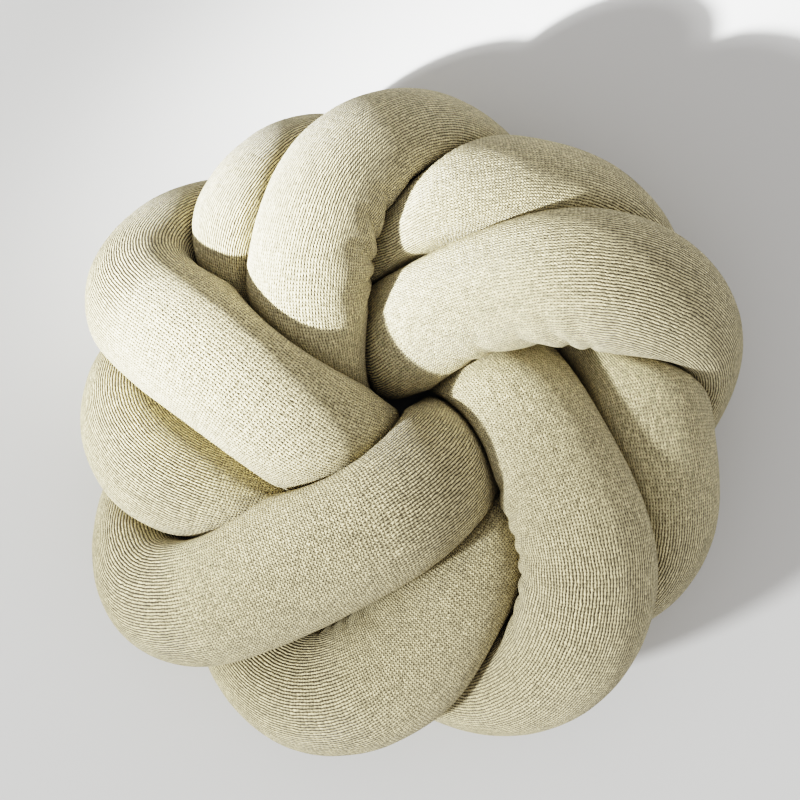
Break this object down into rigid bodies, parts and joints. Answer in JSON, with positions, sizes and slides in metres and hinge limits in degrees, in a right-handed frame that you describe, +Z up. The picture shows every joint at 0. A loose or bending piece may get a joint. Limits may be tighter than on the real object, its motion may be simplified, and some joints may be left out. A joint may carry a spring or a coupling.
{
  "type": "knot cushion",
  "caption": "Flat round cushion made of a stuffed knitted tube knotted over and under itself around a small hole, for a sofa, chair or bed.",
  "frame": {"origin": "on the surface that the cushion rests on, under the middle of its bounding box", "axes": "+Z up, out of the knotted face; +X to the right and +Y away from the viewer when the face is seen from above"},
  "size_m": [0.4496, 0.4504, 0.1732],
  "materials": {
    "knitted_cover": "matt plain jersey knit with ridges along the tube"
  },
  "bodies": {
    "root": {"knot_tube": "knitted_cover"}
  },
  "joints": []
}
